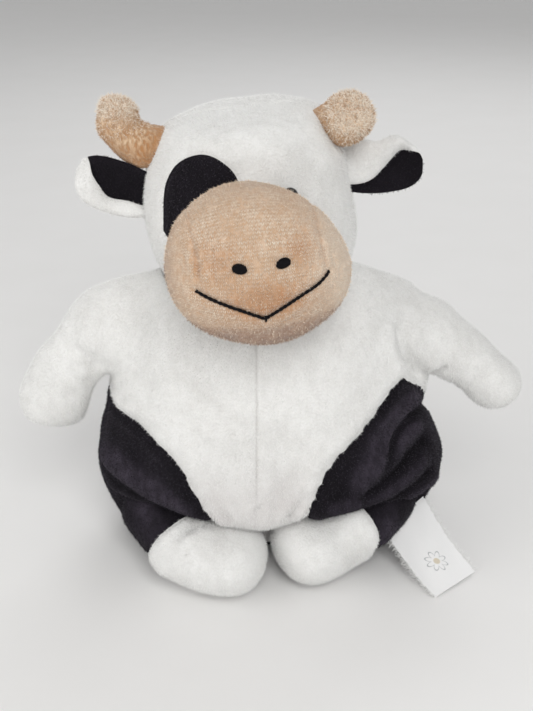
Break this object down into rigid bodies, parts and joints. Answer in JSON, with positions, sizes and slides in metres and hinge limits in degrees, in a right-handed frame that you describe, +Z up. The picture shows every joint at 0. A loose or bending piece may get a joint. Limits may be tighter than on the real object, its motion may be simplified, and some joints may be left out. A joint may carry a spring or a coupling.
{
  "type": "plush cow",
  "caption": "Seated plush cow: pear-shaped black-and-white velour body, big terry muzzle, terry horns, folded ears, stub arms and legs, tail and a sewn-in side label",
  "frame": {"origin": "on the floor under the middle of the flat seat, in the plane of the cow's symmetry", "axes": "+Z up; the cow faces -Y; +X is on the right of a viewer who faces it"},
  "size_m": [0.1951, 0.1349, 0.18],
  "materials": {
    "white_velour": "short-pile white velour",
    "black_velour": "short-pile charcoal black velour",
    "muzzle_terry": "tan looped terry with upright wales",
    "horn_terry": "tan looped terry with a shaggy pale tip",
    "black_thread": "embroidery thread",
    "fibre_filling": "loose polyester fibre",
    "pouch_cotton": "woven cotton bag round plastic pellets",
    "eye_gloss": "polished black",
    "washer_plastic": "moulded white",
    "label_satin": "white satin ribbon, folded"
  },
  "bodies": {
    "torso": {"belly_panel_left": "white_velour", "belly_panel_right": "white_velour", "back_panel_left": "white_velour", "back_panel_right": "white_velour", "hip_panel_left": "black_velour", "hip_panel_right": "black_velour", "seat_panel": "black_velour", "torso_stuffing": "fibre_filling", "pellet_pouch": "pouch_cotton"},
    "head": {"head_front": "white_velour", "eye_patch": "black_velour", "head_back": "white_velour", "head_stuffing": "fibre_filling", "muzzle_bridge": "muzzle_terry", "muzzle_wrap": "muzzle_terry", "muzzle_stuffing": "fibre_filling", "nostril_left": "black_thread", "nostril_right": "black_thread", "mouth_stitching": "black_thread", "eye_left": "eye_gloss", "eye_right": "eye_gloss", "eye_washer_left": "washer_plastic", "eye_washer_right": "washer_plastic", "horn_left": "horn_terry", "horn_right": "horn_terry", "horn_stuffing_left": "fibre_filling", "horn_stuffing_right": "fibre_filling"},
    "ear_left": {"ear_back_left": "white_velour", "ear_lining_left": "black_velour"},
    "ear_right": {"ear_back_right": "white_velour", "ear_lining_right": "black_velour"},
    "arm_left": {"arm_skin_left": "white_velour", "arm_stuffing_left": "fibre_filling"},
    "arm_right": {"arm_skin_right": "white_velour", "arm_stuffing_right": "fibre_filling"},
    "leg_left": {"leg_skin_left": "black_velour", "foot_skin_left": "white_velour", "leg_stuffing_left": "fibre_filling"},
    "leg_right": {"leg_skin_right": "black_velour", "foot_skin_right": "white_velour", "leg_stuffing_right": "fibre_filling"},
    "tail": {"tail_cord": "white_velour", "tail_tuft": "black_velour"},
    "label": {"care_label": "label_satin"}
  },
  "joints": [
    {"name": "head_nod", "type": "hinge", "parent": "torso", "child": "head", "pos_m": [-0.006, 0.002, 0.134], "axis": [1, 0, 0], "range_deg": [-14, 12], "stiffness_Nm_per_rad": 0.4},
    {"name": "ear_left_flap", "type": "hinge", "parent": "head", "child": "ear_left", "pos_m": [-0.04417, -0.00027, 0.14256], "axis": [-0.0607, 0.9981, -0.0064], "range_deg": [-18, 2], "stiffness_Nm_per_rad": 0.02},
    {"name": "ear_right_flap", "type": "hinge", "parent": "head", "child": "ear_right", "pos_m": [0.02955, 0.00427, 0.15031], "axis": [-0.0607, 0.9981, -0.0064], "range_deg": [-18, 18], "stiffness_Nm_per_rad": 0.02},
    {"name": "arm_left_swing", "type": "hinge", "parent": "torso", "child": "arm_left", "pos_m": [-0.05495, -0.002, 0.097], "axis": [0, 1, 0], "range_deg": [0, 30], "stiffness_Nm_per_rad": 0.1},
    {"name": "arm_right_swing", "type": "hinge", "parent": "torso", "child": "arm_right", "pos_m": [0.05495, -0.002, 0.097], "axis": [0, -1, 0], "range_deg": [0, 30], "stiffness_Nm_per_rad": 0.1},
    {"name": "leg_left_splay", "type": "hinge", "parent": "torso", "child": "leg_left", "pos_m": [-0.047, -0.02, 0.02], "axis": [0, 0, -1], "range_deg": [0, 20], "stiffness_Nm_per_rad": 0.06},
    {"name": "leg_right_splay", "type": "hinge", "parent": "torso", "child": "leg_right", "pos_m": [0.047, -0.02, 0.02], "axis": [0, 0, 1], "range_deg": [0, 20], "stiffness_Nm_per_rad": 0.06},
    {"name": "tail_swing", "type": "hinge", "parent": "torso", "child": "tail", "pos_m": [0, 0.04573, 0.054], "axis": [0, 1, 0], "range_deg": [-25, 25]},
    {"name": "label_flip", "type": "hinge", "parent": "torso", "child": "label", "pos_m": [0.056, -0.0065, 0.0105], "axis": [0.7326, 0.6147, 0.2924], "range_deg": [0, 40], "stiffness_Nm_per_rad": 0.004}
  ]
}
